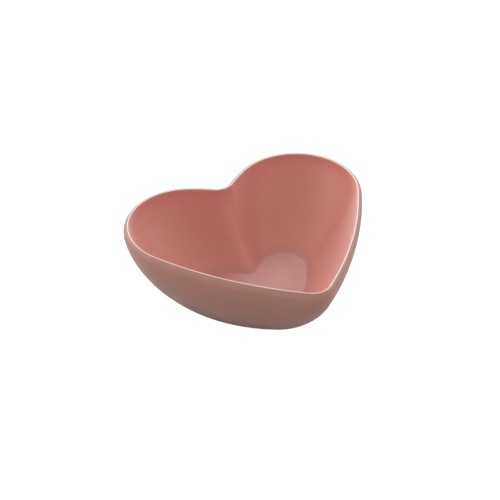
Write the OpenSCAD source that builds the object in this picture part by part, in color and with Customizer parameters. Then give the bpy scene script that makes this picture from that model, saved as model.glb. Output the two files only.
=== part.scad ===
// Heart-shaped ceramic bowl: a clay body with a rounded lip and a low foot ring,
// a satin glaze inside, a greyer satin glaze outside and a glaze in the recess under it.
// The origin is on the table, below the middle of the overall width and length.
// +Z is up, -Y points to the tip of the heart. Millimetres.

/* [Bowl] */
// Overall width across both lobes, outside the lip
bowl_w = 150; // [130:1:180]
// Height from the table to the crest of the lip
bowl_h = 48; // [44:0.5:54]
// Width of the glazed wall's lower edge, as a share of the width over the lip's crest
base_share = 0.69; // [0.66:0.01:0.72]
// Distance of the lower edge's tip in front of the middle, as a share of the same width
base_tip_share = 0.236; // [0.22:0.002:0.25]
// Width of the flat floor inside, as a share of the same width
floor_share = 0.442; // [0.43:0.002:0.454]
// Distance of the floor's tip in front of the middle, as a share of the same width
floor_tip_share = 0.184; // [0.176:0.002:0.192]

/* [Wall] */
// Width of the lip's outer half, from its crest out to the outer wall
lip_out = 2.1; // [1.9:0.1:2.3]
// Drop of the lip's outer half, from its crest down to the outer wall
lip_drop = 4; // [3:0.5:5]
// Radius of the lip's inner half, from its crest to the inner wall
lip_in = 1.1; // [0.9:0.1:1.3]
// Height of the glazed floor above the table
floor_z = 6.5; // [6:0.1:7.5]
// Thickness of the glaze coats
glaze_t = 0.4; // [0.3:0.1:0.6]

/* [Foot] */
// Height of the foot ring below the glazed wall
foot_h = 1.5; // [1:0.1:2]
// Distance of the foot ring inside the wall's lower edge
foot_inset = 3; // [2:0.5:4]
// Width of the foot ring
foot_w = 5; // [4:0.5:6]
// Depth of the recess inside the foot ring, before its glaze
recess_h = 2.5; // [2:0.1:3]

/* [Smoothness] */
// Rows of facets from the foot to the lip
wall_rows = 15; // [8:1:16]
// Rows of facets over each half of the lip
lip_rows = 3; // [2:1:4]

/* [Hidden] */

// A heart's right half is five tangent arcs from the tip to the cleft. Each row gives
// the arc's radius, as a share of the heart's width, and the direction of its normal
// where it ends, in degrees from +X. The crown ends where the hollow cleft arc begins.
TIP = 0;
SIDE = 1;
LOBE = 2;
CROWN = 3;
CLEFT = 4;
lip_heart = [[0.0786, -51.7], [1.597, -27.9], [0.2524, 118], [0.807], [0.0686]];
base_heart = [[0.2, -60], [0.8, -11], [0.15, 107], [0.67], [0.13]];
floor_heart = [[0.115, -50], [1.43, -27], [0.19, 128], [1.75], [0.06]];
// Facets along each arc of half a heart
arc_steps = [5, 8, 15, 10, 6];

// How a wall opens from its lower heart (0) to the lip (1) as it rises, see spread()
outer_rise = 1.46;
outer_round = 1.1;
inner_rise = 1.5;
inner_round = 1.3;

// The lip's width and its heart are those of its crest
lip_w = bowl_w - 2 * lip_out;
base_w = base_share * lip_w;
floor_w = floor_share * lip_w;
lip_tip = -heart_length(lip_heart, lip_w) / 2;
base_tip = -base_tip_share * lip_w;
floor_tip = -floor_tip_share * lip_w;
foot_out = -foot_inset;
foot_in = -foot_inset - foot_w;

function normal(a) = [cos(a), sin(a)];

// Centres of the tip, side, lobe and crown arcs for given radii, with the tip at [0, 0]
function heart_centres(s, r) = let (
    tip = [0, r[TIP]],
    side = tip + (r[TIP] - r[SIDE]) * normal(s[TIP][1]),
    lobe = side + (r[SIDE] - r[LOBE]) * normal(s[SIDE][1]),
    crown = lobe + (r[LOBE] - r[CROWN]) * normal(s[LOBE][1])
) [tip, side, lobe, crown];

// Radii in millimetres of a heart of width w
function heart_radii(s, w) = let (
    shares = [for (row = s) row[0]],
    lobe = heart_centres(s, shares)[LOBE]
) shares * w / (2 * (lobe[0] + shares[LOBE]));

// Length of a heart of width w, from its tip to the top of its lobes
function heart_length(s, w) = let (r = heart_radii(s, w))
    heart_centres(s, r)[LOBE][1] + r[LOBE];

// Points on an arc from angle a to angle b, without the first
function arc_points(centre, r, a, b, steps) =
    [for (i = [1:steps]) centre + r * normal(a + (b - a) * i / steps)];

// Right half of a heart, moved outwards by grow along its normals
function half_heart(s, w, tip_y, grow) = let (
    r = heart_radii(s, w),
    c = heart_centres(s, r),
    crown_end = acos(-c[CROWN][0] / (r[CROWN] + r[CLEFT])),
    cleft = c[CROWN] + (r[CROWN] + r[CLEFT]) * normal(crown_end),
    points = concat(
        [[0, -grow]],
        arc_points(c[TIP], r[TIP] + grow, -90, s[TIP][1], arc_steps[TIP]),
        arc_points(c[SIDE], r[SIDE] + grow, s[TIP][1], s[SIDE][1], arc_steps[SIDE]),
        arc_points(c[LOBE], r[LOBE] + grow, s[SIDE][1], s[LOBE][1], arc_steps[LOBE]),
        arc_points(c[CROWN], r[CROWN] + grow, s[LOBE][1], crown_end, arc_steps[CROWN]),
        arc_points(cleft, r[CLEFT] - grow, crown_end + 180, 270, arc_steps[CLEFT])
    )
) [for (p = points) [p[0], p[1] + tip_y]];

// A whole heart, anticlockwise from the tip
function heart(s, w, tip_y, grow = 0) = let (
    half = half_heart(s, w, tip_y, grow),
    last = len(half) - 1
) concat(
    [for (i = [0:last]) [i == 0 || i == last ? 0 : half[i][0], half[i][1]]],
    [for (i = [last - 1:-1:1]) [-half[i][0], half[i][1]]]
);

function lip(grow) = heart(lip_heart, lip_w, lip_tip, grow);
function base(grow) = heart(base_heart, base_w, base_tip, grow);
function floor_edge(grow) = heart(floor_heart, floor_w, floor_tip, grow);

// An outline lifted to the height z
function at_z(outline, z) = [for (p = outline) [p[0], p[1], z]];

// Share of the way from the lower heart to the lip at the share h of the height
function spread(h, rise, round_off) = pow(1 - pow(1 - h, rise), 1 / round_off);

// Heights of the rows as shares, close together near the bottom where the wall turns
function row_height(i) = 1 - cos(90 * i / wall_rows);

// Rings of a wall that opens from the outline low at low_z to the outline high at high_z
function wall(low, high, low_z, high_z, rise, round_off) = [
    for (i = [0:wall_rows]) let (h = row_height(i), f = spread(h, rise, round_off))
        at_z((1 - f) * low + f * high, low_z + h * (high_z - low_z))
];

// Rings of one half of the lip, a quarter ellipse from its side up to its crest at top_z
function lip_rings(width, drop, side, top_z) = [
    for (i = [1:lip_rows]) let (a = 90 * i / lip_rows)
        at_z(lip(side * width * cos(a)), top_z - drop * (1 - sin(a)))
];

// Outer and inner surfaces from the bottom to the crest, at the depth under the glaze
function outer_surface(depth) = concat(
    wall(
        base(-depth), lip(lip_out - depth),
        foot_h, bowl_h - lip_drop, outer_rise, outer_round
    ),
    lip_rings(lip_out - depth, lip_drop - depth, 1, bowl_h - depth)
);
function inner_surface(depth) = concat(
    wall(
        floor_edge(depth), lip(depth - lip_in),
        floor_z - depth, bowl_h - lip_in, inner_rise, inner_round
    ),
    lip_rings(lip_in - depth, lip_in - depth, -1, bowl_h - depth)
);

function reversed(list) = [for (i = [len(list) - 1:-1:0]) list[i]];
function without_last(list) = [for (i = [0:len(list) - 2]) list[i]];

// Closed skin over a stack of rings with equally many points. The ends are capped,
// or joined to each other when the stack is a loop.
module skin(rings, loop = false) {
    n = len(rings[0]);
    last = len(rings) - 1;
    bands = [
        for (j = [0:loop ? last : last - 1], i = [0:n - 1]) let (
            a = j * n + i,
            b = j * n + (i + 1) % n,
            up = (j == last ? -last : 1) * n
        ) each [[a, a + up, b], [b, a + up, b + up]]
    ];
    caps = loop ? [] : [[for (i = [0:n - 1]) i], [for (i = [n - 1:-1:0]) last * n + i]];
    polyhedron(points = [for (ring = rings) each ring], faces = concat(caps, bands));
}

// The fired clay: recess, foot ring, outer wall, lip, inner wall and floor
module clay_body() {
    color("#e6d8c6")
        skin(concat(
            [
                at_z(base(foot_in), recess_h),
                at_z(base(foot_in), 0),
                at_z(base(foot_out), 0),
                at_z(base(foot_out), foot_h)
            ],
            outer_surface(glaze_t),
            reversed(without_last(inner_surface(glaze_t)))
        ));
}

// Pink coat on the floor and the inner wall, up to the crest of the lip
module inner_glaze() {
    color("#d19f98")
        skin(concat(inner_surface(glaze_t), reversed(inner_surface(0))));
}

// Greyer pink coat on the outer wall, from its lower edge to the crest of the lip
module outer_glaze() {
    color("#b78d80")
        skin(concat(outer_surface(0), reversed(outer_surface(glaze_t))), loop = true);
}

// Coat on the ceiling of the recess inside the foot ring
module base_glaze() {
    color("#b78d80")
        skin([at_z(base(foot_in), recess_h - glaze_t), at_z(base(foot_in), recess_h)]);
}

clay_body();
inner_glaze();
outer_glaze();
base_glaze();
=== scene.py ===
"""Looks of the heart-shaped ceramic bowl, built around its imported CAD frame.

Each CAD node is replaced by a finer mesh of the same solid: the clay body, the
pink coat inside it, the greyer coat outside it and the coat in the recess under it.
"""
import math

import bmesh
import bpy
import numpy as np
from mathutils import Matrix, Vector

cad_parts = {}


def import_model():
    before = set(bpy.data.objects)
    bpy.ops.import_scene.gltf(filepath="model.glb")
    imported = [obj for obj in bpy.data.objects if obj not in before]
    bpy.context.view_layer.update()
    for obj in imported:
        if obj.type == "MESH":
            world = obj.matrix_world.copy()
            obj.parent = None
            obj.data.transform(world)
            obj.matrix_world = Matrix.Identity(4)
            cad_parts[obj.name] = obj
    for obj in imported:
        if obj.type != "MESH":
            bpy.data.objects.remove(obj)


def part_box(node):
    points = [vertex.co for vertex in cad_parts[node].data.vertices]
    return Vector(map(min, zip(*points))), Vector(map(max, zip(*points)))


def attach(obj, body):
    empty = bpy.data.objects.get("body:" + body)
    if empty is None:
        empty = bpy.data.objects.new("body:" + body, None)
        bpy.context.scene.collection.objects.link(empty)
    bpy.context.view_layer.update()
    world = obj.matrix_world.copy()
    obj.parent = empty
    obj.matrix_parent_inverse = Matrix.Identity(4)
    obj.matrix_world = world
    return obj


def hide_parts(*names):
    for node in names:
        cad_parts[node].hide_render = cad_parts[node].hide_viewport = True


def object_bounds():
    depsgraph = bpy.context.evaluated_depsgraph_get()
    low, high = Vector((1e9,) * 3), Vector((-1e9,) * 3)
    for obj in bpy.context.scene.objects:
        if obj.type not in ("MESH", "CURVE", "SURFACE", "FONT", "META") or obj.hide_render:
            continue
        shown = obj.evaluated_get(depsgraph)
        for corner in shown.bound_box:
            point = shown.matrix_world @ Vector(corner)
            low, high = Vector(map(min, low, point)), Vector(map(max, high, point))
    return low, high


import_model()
cad_low, cad_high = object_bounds()

# --- Sizes, from the CAD frame where it gives them, the rest as in the CAD source ------

MM = 0.001
BOWL_W = cad_high.x - cad_low.x
BOWL_H = cad_high.z
# The lip's outer half is this wide and drops this far from its crest. Its inner half is round.
LIP_OUT = 2.1 * MM
LIP_DROP = 4 * MM
LIP_IN = 1.1 * MM
GLAZE_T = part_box("base_glaze")[1].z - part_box("base_glaze")[0].z
RECESS_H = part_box("base_glaze")[1].z
FLOOR_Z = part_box("inner_glaze")[0].z + GLAZE_T
WALL_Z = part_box("outer_glaze")[0].z
# Widths of the three hearts and where their tips lie. The lip's are those of its crest.
LIP_W = BOWL_W - 2 * LIP_OUT
BASE_W = 0.69 * LIP_W
FLOOR_W = 0.442 * LIP_W
LIP_TIP = cad_low.y + LIP_OUT
BASE_TIP = -0.236 * LIP_W
FLOOR_TIP = -0.184 * LIP_W
FOOT_INSET = 3 * MM
FOOT_W = 5 * MM

# --- Heart outlines ------------------------------------------------------------------

# Arcs of a heart's right half from the tip to the cleft: each one's radius, as a share
# of the heart's width, and the direction of its normal where it ends, in degrees
TIP, SIDE, LOBE, CROWN, CLEFT = range(5)
LIP_HEART = [(0.0786, -51.7), (1.597, -27.9), (0.2524, 118), (0.807, None), (0.0686, None)]
BASE_HEART = [(0.2, -60), (0.8, -11), (0.15, 107), (0.67, None), (0.13, None)]
FLOOR_HEART = [(0.115, -50), (1.43, -27), (0.19, 128), (1.75, None), (0.06, None)]
# Edges along each arc, on the glazed surfaces and on the clay, which they mostly hide
ARC_STEPS = (12, 22, 36, 24, 14)
COARSE_STEPS = (8, 14, 22, 14, 9)

# How a wall opens from its lower heart to the lip as it rises
OUTER_RISE = (1.46, 1.1)
INNER_RISE = (1.5, 1.3)


def normal(degrees):
    return np.array([math.cos(math.radians(degrees)), math.sin(math.radians(degrees))])


def heart_centres(shape, radii):
    """Centres of the tip, side, lobe and crown arcs, with the tip at the origin."""
    tip = np.array([0, radii[TIP]])
    side = tip + (radii[TIP] - radii[SIDE]) * normal(shape[TIP][1])
    lobe = side + (radii[SIDE] - radii[LOBE]) * normal(shape[SIDE][1])
    crown = lobe + (radii[LOBE] - radii[CROWN]) * normal(shape[LOBE][1])
    return [tip, side, lobe, crown]


def heart_radii(shape, width):
    shares = np.array([row[0] for row in shape])
    lobe = heart_centres(shape, shares)[LOBE]
    return shares * width / (2 * (lobe[0] + shares[LOBE]))


def arc_points(centre, radius, start, end, steps):
    """Points on an arc, without its first."""
    angles = [start + (end - start) * i / steps for i in range(1, steps + 1)]
    return [centre + radius * normal(angle) for angle in angles]


def heart(shape, width, tip_y, grow=0.0, steps=ARC_STEPS):
    """A heart, anticlockwise from its tip, moved outwards by grow along its normals."""
    r = heart_radii(shape, width)
    c = heart_centres(shape, r)
    crown_end = math.degrees(math.acos(-c[CROWN][0] / (r[CROWN] + r[CLEFT])))
    cleft = c[CROWN] + (r[CROWN] + r[CLEFT]) * normal(crown_end)
    half = [np.array([0, -grow])]
    half += arc_points(c[TIP], r[TIP] + grow, -90, shape[TIP][1], steps[TIP])
    half += arc_points(c[SIDE], r[SIDE] + grow, shape[TIP][1], shape[SIDE][1], steps[SIDE])
    half += arc_points(c[LOBE], r[LOBE] + grow, shape[SIDE][1], shape[LOBE][1], steps[LOBE])
    half += arc_points(c[CROWN], r[CROWN] + grow, shape[LOBE][1], crown_end, steps[CROWN])
    half += arc_points(cleft, r[CLEFT] - grow, crown_end + 180, 270, steps[CLEFT])
    half = np.array(half) + [0, tip_y]
    # The cleft's point is exactly on the symmetry plane
    half[-1, 0] = 0
    return np.vstack([half, half[-2:0:-1] * [-1, 1]])


def lip(grow, steps=ARC_STEPS):
    return heart(LIP_HEART, LIP_W, LIP_TIP, grow, steps)


def base(grow, steps=ARC_STEPS):
    return heart(BASE_HEART, BASE_W, BASE_TIP, grow, steps)


def floor_edge(grow, steps=ARC_STEPS):
    return heart(FLOOR_HEART, FLOOR_W, FLOOR_TIP, grow, steps)


def at_z(outline, z):
    return np.column_stack([outline, np.full(len(outline), z)])


# --- Surfaces as stacks of rings -----------------------------------------------------

WALL_ROWS = 44
LIP_ROWS = 10
COARSE_WALL_ROWS = 24
COARSE_LIP_ROWS = 4
# Sizes of the rings that fill a flat face, as shares of its outline
DISC_SHARES = (0.1, 0.3, 0.5, 0.68, 0.82, 0.92, 0.975)


def wall(low, high, low_z, high_z, rise, rows):
    """Rings from the outline low at low_z up to the outline high at high_z."""
    rings = []
    for i in range(rows + 1):
        h = 1 - math.cos(math.pi / 2 * i / rows)
        f = (1 - (1 - h) ** rise[0]) ** (1 / rise[1])
        rings.append(at_z((1 - f) * low + f * high, low_z + h * (high_z - low_z)))
    return rings


def lip_rings(width, drop, side, top_z, steps, rows):
    """Rings of one half of the lip (side 1 outer, -1 inner), up to its crest at top_z."""
    angles = [math.pi / 2 * i / rows for i in range(1, rows + 1)]
    return [
        at_z(lip(side * width * math.cos(a), steps), top_z - drop * (1 - math.sin(a)))
        for a in angles
    ]


def outer_surface(depth, steps=ARC_STEPS, rows=WALL_ROWS, crest_rows=LIP_ROWS):
    return (
        wall(
            base(-depth, steps), lip(LIP_OUT - depth, steps),
            WALL_Z, BOWL_H - LIP_DROP, OUTER_RISE, rows,
        )
        + lip_rings(LIP_OUT - depth, LIP_DROP - depth, 1, BOWL_H - depth, steps, crest_rows)
    )


def inner_surface(depth, steps=ARC_STEPS, rows=WALL_ROWS, crest_rows=LIP_ROWS):
    return (
        wall(
            floor_edge(depth, steps), lip(depth - LIP_IN, steps),
            FLOOR_Z - depth, BOWL_H - LIP_IN, INNER_RISE, rows,
        )
        + lip_rings(LIP_IN - depth, LIP_IN - depth, -1, BOWL_H - depth, steps, crest_rows)
    )


def disc_rings(outline, z, centre_y):
    """Rings that fill an outline, from near its middle to just inside its edge."""
    middle = np.array([0, centre_y])
    return [at_z(middle + share * (outline - middle), z) for share in DISC_SHARES]


def skin(name, rings, loop=False):
    """A closed mesh over a stack of rings, its ends capped or joined to each other."""
    mesh = bmesh.new()
    verts = [[mesh.verts.new(p) for p in ring] for ring in rings]
    n = len(rings[0])
    pairs = list(zip(verts, verts[1:]))
    if loop:
        pairs.append((verts[-1], verts[0]))
    for low, high in pairs:
        for i in range(n):
            k = (i + 1) % n
            mesh.faces.new([low[i], low[k], high[k], high[i]])
    if not loop:
        for ring in (verts[0], verts[-1]):
            middle = mesh.verts.new(sum((v.co for v in ring), Vector()) / n)
            for i in range(n):
                mesh.faces.new([ring[i], ring[(i + 1) % n], middle])
    bmesh.ops.recalc_face_normals(mesh, faces=mesh.faces)
    data = bpy.data.meshes.new(name)
    mesh.to_mesh(data)
    mesh.free()
    data.polygons.foreach_set("use_smooth", [True] * len(data.polygons))
    piece = bpy.data.objects.new(name, data)
    bpy.context.scene.collection.objects.link(piece)
    return piece


# --- Materials -----------------------------------------------------------------------

# Noise scales, in cycles per metre
GLAZE_CLOUDS = 38
GLAZE_WAVES = 55
GLAZE_PATCHES = 90
GLAZE_PEEL = 620
CLAY_SPECKS = 420
CLAY_GRAIN = 1100

GLAZE_IOR = 1.5
SHEEN_ROUGHNESS = 0.4
COAT_ROUGHNESS = 0.25
ROUGHNESS_SPREAD = 0.03

CLAY_DARK = (0.60, 0.50, 0.39)
CLAY_PALE = (0.74, 0.65, 0.53)
CLAY_SPECK = (0.30, 0.22, 0.15)


def new_material(name):
    material = bpy.data.materials.new(name)
    material.use_nodes = True
    nodes = material.node_tree.nodes
    return material, nodes, material.node_tree.links, nodes["Principled BSDF"]


def noise_node(nodes, links, place, scale, detail):
    noise = nodes.new("ShaderNodeTexNoise")
    noise.inputs["Scale"].default_value = scale
    noise.inputs["Detail"].default_value = detail
    links.new(place, noise.inputs["Vector"])
    return noise.outputs["Fac"]


def range_node(nodes, links, value, low, high, to_low, to_high):
    """The value's range from low to high, mapped smoothly and clamped."""
    ramp = nodes.new("ShaderNodeMapRange")
    ramp.interpolation_type = "SMOOTHSTEP"
    links.new(value, ramp.inputs["Value"])
    limits = {"From Min": low, "From Max": high, "To Min": to_low, "To Max": to_high}
    for socket, limit in limits.items():
        ramp.inputs[socket].default_value = limit
    return ramp.outputs["Result"]


def mix_colours(nodes, links, factor, first, second):
    """A mix of two colours, each given as RGB or as another node's output."""
    mix = nodes.new("ShaderNodeMix")
    mix.data_type = "RGBA"
    sockets = [socket for socket in mix.inputs if socket.type == "RGBA"]
    for socket, colour in zip(sockets, (first, second)):
        if isinstance(colour, tuple):
            socket.default_value = (*colour, 1)
        else:
            links.new(colour, socket)
    links.new(factor, mix.inputs["Factor"])
    return next(socket for socket in mix.outputs if socket.type == "RGBA")


def bump_node(nodes, links, height, distance, below=None):
    bump = nodes.new("ShaderNodeBump")
    bump.inputs["Distance"].default_value = distance
    links.new(height, bump.inputs["Height"])
    if below:
        links.new(below, bump.inputs["Normal"])
    return bump.outputs["Normal"]


def glaze_material(name, colour, patch, low_band, crest, roughness, sheen, coat):
    """A pink glaze, slightly mottled with patches of a second colour.

    The low band and the crest band each give a colour, the height where it starts and the
    one where it is full. On the inner and outer coats the low band is painted shade; the
    crest band is a painted highlight on the inner coat and painted shade on the outer.
    """
    material, nodes, links, shader = new_material(name)
    place = nodes.new("ShaderNodeTexCoord").outputs["Object"]
    height = nodes.new("ShaderNodeSeparateXYZ")
    links.new(place, height.inputs["Vector"])
    z = height.outputs["Z"]

    clouds = noise_node(nodes, links, place, GLAZE_CLOUDS, 3)
    cloud = range_node(nodes, links, clouds, 0.3, 0.7, 0, 1)
    low_band_colour, low_band_top, low_band_bottom = low_band
    crest_colour, crest_bottom, crest_top = crest
    # Painted shade and highlight, mixed into the colour by height
    low_band_share = range_node(nodes, links, z, low_band_bottom, low_band_top, 1, 0)
    crested = range_node(nodes, links, z, crest_bottom, crest_top, 0, 1)
    tone = mix_colours(nodes, links, cloud, colour, patch)
    tone = mix_colours(nodes, links, low_band_share, tone, low_band_colour)
    tone = mix_colours(nodes, links, crested, tone, crest_colour)
    links.new(tone, shader.inputs["Base Color"])

    patches = noise_node(nodes, links, place, GLAZE_PATCHES, 2)
    smooth, rough = roughness - ROUGHNESS_SPREAD, roughness + ROUGHNESS_SPREAD
    uneven = range_node(nodes, links, patches, 0.3, 0.7, smooth, rough)
    links.new(uneven, shader.inputs["Roughness"])
    wave_height = noise_node(nodes, links, place, GLAZE_WAVES, 1)
    waves = bump_node(nodes, links, wave_height, 0.12 * MM)
    peel_height = noise_node(nodes, links, place, GLAZE_PEEL, 2)
    peel = bump_node(nodes, links, peel_height, 0.006 * MM, waves)
    links.new(peel, shader.inputs["Normal"])

    shader.inputs["IOR"].default_value = GLAZE_IOR
    shader.inputs["Sheen Weight"].default_value = sheen
    shader.inputs["Sheen Roughness"].default_value = SHEEN_ROUGHNESS
    shader.inputs["Coat Weight"].default_value = coat
    shader.inputs["Coat Roughness"].default_value = COAT_ROUGHNESS
    return material


def clay_material():
    """Pale fired clay with fine grain and a few darker specks."""
    material, nodes, links, shader = new_material("fired_clay")
    place = nodes.new("ShaderNodeTexCoord").outputs["Object"]
    grain = noise_node(nodes, links, place, CLAY_GRAIN, 4)
    tone = mix_colours(nodes, links, grain, CLAY_DARK, CLAY_PALE)
    spots = noise_node(nodes, links, place, CLAY_SPECKS, 1)
    specks = range_node(nodes, links, spots, 0.72, 0.78, 0, 0.6)
    speckled = mix_colours(nodes, links, specks, tone, CLAY_SPECK)
    links.new(speckled, shader.inputs["Base Color"])
    links.new(bump_node(nodes, links, grain, 0.05 * MM), shader.inputs["Normal"])
    shader.inputs["Roughness"].default_value = 0.85
    return material


INNER_PINK = (0.51, 0.174, 0.138)
INNER_PATCH = (0.49, 0.164, 0.129)
OUTER_PINK = (0.42, 0.187, 0.142)
OUTER_PATCH = (0.405, 0.179, 0.135)
# Bands: a colour, the height where it starts and the one where it is full. The inner coat
# has painted shade, darker and greyer, on its floor and a painted highlight, a pale line,
# on its crest. The outer coat has painted shade at its lower edge and just outside the
# crest. The recess has no band of its own, so its low band is the patch colour and its
# crest is out of reach above it.
# Painted shade: the floor and the wall's lowest 4 mm darker and greyer
FLOOR_PAINTED_SHADE = ((0.41, 0.152, 0.127), FLOOR_Z + 4 * MM, FLOOR_Z)
# Painted highlight: a pale line over the top 0.3 mm of the crest
CREST_PAINTED_HIGHLIGHT = ((0.86, 0.62, 0.56), BOWL_H - 0.3 * MM, BOWL_H)
# Painted shade: the outer coat darkens over its lowest 10 mm, strongest at its lower edge
EDGE_PAINTED_SHADE = ((0.2, 0.07, 0.05), WALL_Z + 10 * MM, WALL_Z)
# Painted shade: the outer coat darker over its top 3 mm, just outside the crest
SHOULDER_PAINTED_SHADE = ((0.29, 0.14, 0.115), BOWL_H - 3 * MM, BOWL_H)
RECESS_LOW_BAND = (OUTER_PATCH, RECESS_H, 0)
OUTER_FINISH = {"roughness": 0.4, "sheen": 0.25, "coat": 0.3}

inner_glaze_look = glaze_material(
    "inner_satin_glaze", INNER_PINK, INNER_PATCH, FLOOR_PAINTED_SHADE, CREST_PAINTED_HIGHLIGHT,
    roughness=0.4, sheen=0.7, coat=0,
)
outer_glaze_look = glaze_material(
    "outer_satin_glaze", OUTER_PINK, OUTER_PATCH, EDGE_PAINTED_SHADE, SHOULDER_PAINTED_SHADE, **OUTER_FINISH,
)
recess_glaze_look = glaze_material(
    "recess_satin_glaze", OUTER_PINK, OUTER_PATCH, RECESS_LOW_BAND, SHOULDER_PAINTED_SHADE, **OUTER_FINISH,
)
clay_look = clay_material()

# --- Pieces --------------------------------------------------------------------------


def place(piece, node, slot, material):
    piece.data.materials.append(material)
    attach(piece, "root")
    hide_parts(node)


def quarter_turn(steps):
    """Cosine and sine pairs from 0 to 90 degrees."""
    angles = [math.pi / 2 * i / steps for i in range(steps + 1)]
    return [(math.cos(a), math.sin(a)) for a in angles]


# Where the rings that fill the floor close, on the symmetry plane
FLOOR_MIDDLE = -2 * MM
inner_top = disc_rings(floor_edge(0), FLOOR_Z, FLOOR_MIDDLE) + inner_surface(0)
floor_back = disc_rings(floor_edge(GLAZE_T), FLOOR_Z - GLAZE_T, FLOOR_MIDDLE)
inner_back = floor_back + inner_surface(GLAZE_T)
inner_coat = skin("inner_glaze_coat", inner_back + inner_top[::-1])
place(inner_coat, "inner_glaze", "inner_satin_glaze", inner_glaze_look)

# The outer coat ends in a rounded edge above the foot
EDGE_R = GLAZE_T / 2
EDGE_STEPS = 6
glaze_edge = [
    at_z(base(-EDGE_R - EDGE_R * math.cos(a)), WALL_Z + EDGE_R * (1 - math.sin(a)))
    for a in [math.pi * i / EDGE_STEPS for i in range(1, EDGE_STEPS)]
]
outer_rings = glaze_edge + outer_surface(0) + outer_surface(GLAZE_T)[::-1]
outer_coat = skin("outer_glaze_coat", outer_rings, loop=True)
place(outer_coat, "outer_glaze", "outer_satin_glaze", outer_glaze_look)

foot_in = base(-FOOT_INSET - FOOT_W)
recess_rings = [at_z(foot_in, RECESS_H - GLAZE_T), at_z(foot_in, RECESS_H)]
base_coat = skin("recess_glaze_coat", recess_rings)
place(base_coat, "base_glaze", "recess_glaze", recess_glaze_look)

# The foot ring's two lower edges are rounded
FOOT_R = 0.7 * MM
FOOT_STEPS = 4
foot = [at_z(base(-FOOT_INSET - FOOT_W, COARSE_STEPS), RECESS_H)]
foot += [
    at_z(base(-FOOT_INSET - FOOT_W + FOOT_R * (1 - c), COARSE_STEPS), FOOT_R * (1 - s))
    for c, s in quarter_turn(FOOT_STEPS)
]
foot += [
    at_z(base(-FOOT_INSET - FOOT_R * (1 - s), COARSE_STEPS), FOOT_R * (1 - c))
    for c, s in quarter_turn(FOOT_STEPS)
]
foot.append(at_z(base(-FOOT_INSET, COARSE_STEPS), WALL_Z))
clay_outer = outer_surface(GLAZE_T, COARSE_STEPS, COARSE_WALL_ROWS, COARSE_LIP_ROWS)
clay_inner = inner_surface(GLAZE_T, COARSE_STEPS, COARSE_WALL_ROWS, COARSE_LIP_ROWS)
clay = skin("clay_ware", foot + clay_outer + clay_inner[-2::-1])
place(clay, "clay_body", "fired_clay", clay_look)

# --- Floor, light and camera ---------------------------------------------------------

# The photo's viewing angle, in degrees: the camera's turn about Z from -Y, its elevation
CAMERA_AZIMUTH = -29.4
CAMERA_ELEVATION = 37.15
# A long lens far off, aimed so that the bowl lies where it does in the photo
CAMERA_DISTANCE = 25 * LIP_W
CAMERA_LENS = 447.6
AIM_ASIDE = -0.0677 * LIP_W
AIM_ABOVE = -0.0687 * LIP_W
# Glows of the studio's surround: azimuth, elevation, half width in degrees, strength
GLOWS = [(-45, 12, 45, 1.5), (45, 12, 45, 0.9), (90, 15, 45, 0.5), (-95, 15, 45, 1.2)]


def studio_direction(azimuth, elevation):
    """Unit vector: azimuth 0 is away from the camera and 90 is to its right."""
    a, e = math.radians(azimuth - CAMERA_AZIMUTH), math.radians(elevation)
    return Vector((math.sin(a) * math.cos(e), math.cos(a) * math.cos(e), math.sin(e)))


def floor(paleness, shown):
    """A floor of the given paleness that also glows, only to the camera, as a white sweep."""
    bpy.ops.mesh.primitive_plane_add(size=12)
    plane = bpy.context.object
    plane.name = "studio_floor"
    material, nodes, links, shader = new_material("studio_floor")
    shader.inputs["Base Color"].default_value = (paleness, paleness, paleness, 1)
    shader.inputs["Roughness"].default_value = 0.9
    shader.inputs["Specular IOR Level"].default_value = 0
    shader.inputs["Emission Color"].default_value = (1, 1, 1, 1)
    path = nodes.new("ShaderNodeLightPath")
    glow = nodes.new("ShaderNodeMath")
    glow.operation = "MULTIPLY"
    glow.inputs[1].default_value = shown
    links.new(path.outputs["Is Camera Ray"], glow.inputs[0])
    links.new(glow.outputs["Value"], shader.inputs["Emission Strength"])
    plane.data.materials.append(material)


def softbox(name, azimuth, elevation, distance, size, power):
    """A round softbox in the given studio direction from the bowl, aimed at it."""
    data = bpy.data.lights.new(name, "AREA")
    data.shape = "DISK"
    data.size = size
    data.energy = power
    lamp = bpy.data.objects.new(name, data)
    direction = studio_direction(azimuth, elevation)
    lamp.location = direction * distance
    lamp.rotation_euler = direction.to_track_quat("Z", "Y").to_euler()
    bpy.context.scene.collection.objects.link(lamp)


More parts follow.
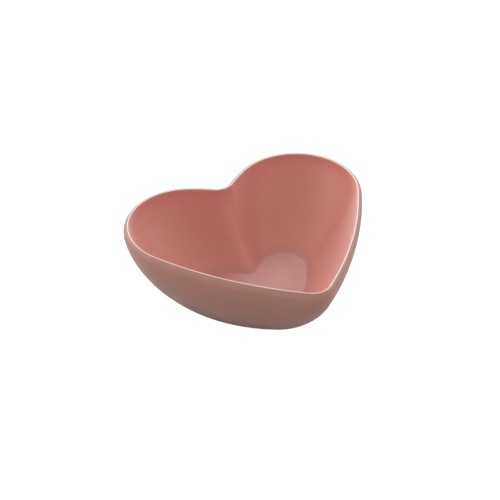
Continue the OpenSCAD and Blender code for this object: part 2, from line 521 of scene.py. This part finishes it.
def world(shown, even, glows):
    """White to the camera. Elsewhere even light, with soft glows around given directions."""
    sky = bpy.data.worlds.new("studio")
    sky.use_nodes = True
    nodes, links = sky.node_tree.nodes, sky.node_tree.links
    background = nodes["Background"]
    background.inputs["Color"].default_value = (1, 1, 1, 1)
    place = nodes.new("ShaderNodeTexCoord")
    total = None
    for azimuth, elevation, half_width, strength in glows:
        dot = nodes.new("ShaderNodeVectorMath")
        dot.operation = "DOT_PRODUCT"
        dot.inputs[1].default_value = studio_direction(azimuth, elevation)
        links.new(place.outputs["Generated"], dot.inputs[0])
        ramp = nodes.new("ShaderNodeMapRange")
        ramp.interpolation_type = "SMOOTHSTEP"
        ramp.inputs["From Min"].default_value = math.cos(math.radians(half_width))
        ramp.inputs["From Max"].default_value = 1
        ramp.inputs["To Min"].default_value = 0 if total else even
        ramp.inputs["To Max"].default_value = strength + (0 if total else even)
        links.new(dot.outputs["Value"], ramp.inputs["Value"])
        if total:
            add = nodes.new("ShaderNodeMath")
            links.new(total, add.inputs[0])
            links.new(ramp.outputs["Result"], add.inputs[1])
            total = add.outputs["Value"]
        else:
            total = ramp.outputs["Result"]
    path = nodes.new("ShaderNodeLightPath")
    pick = nodes.new("ShaderNodeMix")
    pick.inputs["B"].default_value = shown
    links.new(path.outputs["Is Camera Ray"], pick.inputs["Factor"])
    links.new(total, pick.inputs["A"])
    links.new(pick.outputs["Result"], background.inputs["Strength"])
    bpy.context.scene.world = sky


def camera(azimuth, elevation, distance, lens, aside, above):
    """A camera at the given angles whose aim is aside and above the rim's middle."""
    a, e = math.radians(azimuth), math.radians(elevation)
    back = Vector((math.sin(a) * math.cos(e), -math.cos(a) * math.cos(e), math.sin(e)))
    right = Vector((math.cos(a), math.sin(a), 0))
    up = back.cross(right)
    aim = Vector((0, 0, BOWL_H)) + aside * right + above * up
    data = bpy.data.cameras.new("camera")
    data.lens = lens
    data.clip_end = 100
    eye = bpy.data.objects.new("camera", data)
    eye.location = aim + distance * back
    eye.rotation_euler = Matrix((right, up, back)).transposed().to_euler()
    bpy.context.scene.collection.objects.link(eye)
    bpy.context.scene.camera = eye


floor(paleness=0.35, shown=0.9)
softbox("key", azimuth=0, elevation=44, distance=1.2, size=0.45, power=2.4)
world(shown=1, even=0.93, glows=GLOWS)
camera(CAMERA_AZIMUTH, CAMERA_ELEVATION, CAMERA_DISTANCE, CAMERA_LENS, AIM_ASIDE, AIM_ABOVE)
bpy.context.scene.view_settings.view_transform = "Standard"
